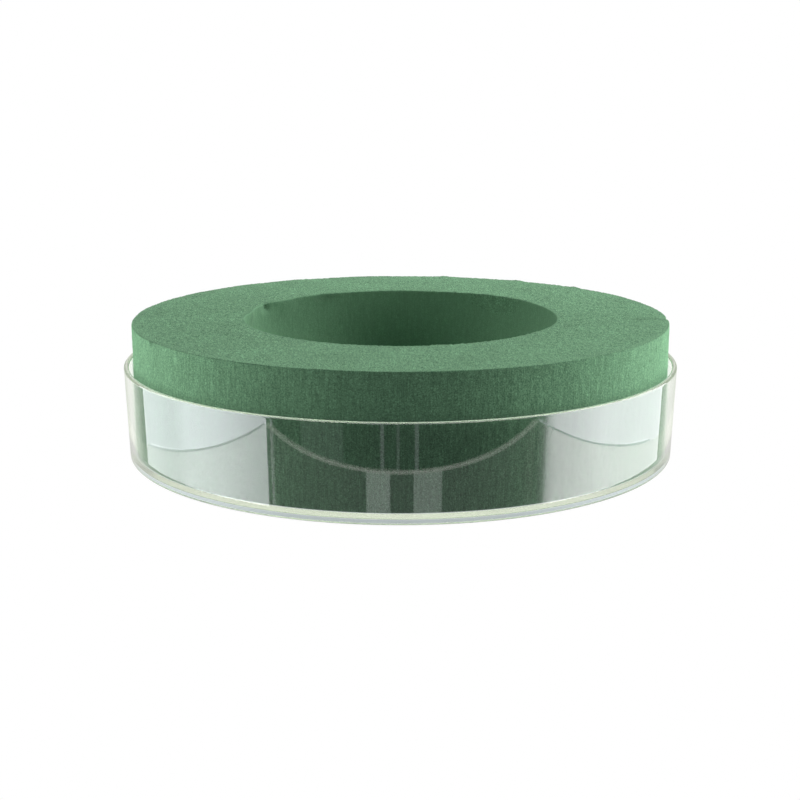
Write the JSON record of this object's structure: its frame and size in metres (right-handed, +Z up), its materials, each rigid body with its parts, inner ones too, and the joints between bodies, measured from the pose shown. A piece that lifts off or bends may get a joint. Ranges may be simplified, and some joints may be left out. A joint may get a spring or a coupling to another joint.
{
  "type": "floral foam ring in a clear dish",
  "caption": "Square-cut ring of green wet floral foam standing in a shallow clear plastic dish, for a round table arrangement.",
  "frame": {"origin": "centre of the dish's foot ring, on the surface that it stands on", "axes": "+Z up along the common axis of the dish and the foam ring; X and Y lie in the table and are alike"},
  "size_m": [0.25, 0.25, 0.0596],
  "materials": {
    "clear_plastic": "gloss",
    "foam": "matte"
  },
  "bodies": {
    "tray": {"tray": "clear_plastic"},
    "foam": {"foam_ring": "foam"}
  },
  "joints": [
    {"name": "foam_lift", "type": "slide", "parent": "tray", "child": "foam", "axis": [0, 0, 1], "range_m": [0, 0.06]}
  ]
}
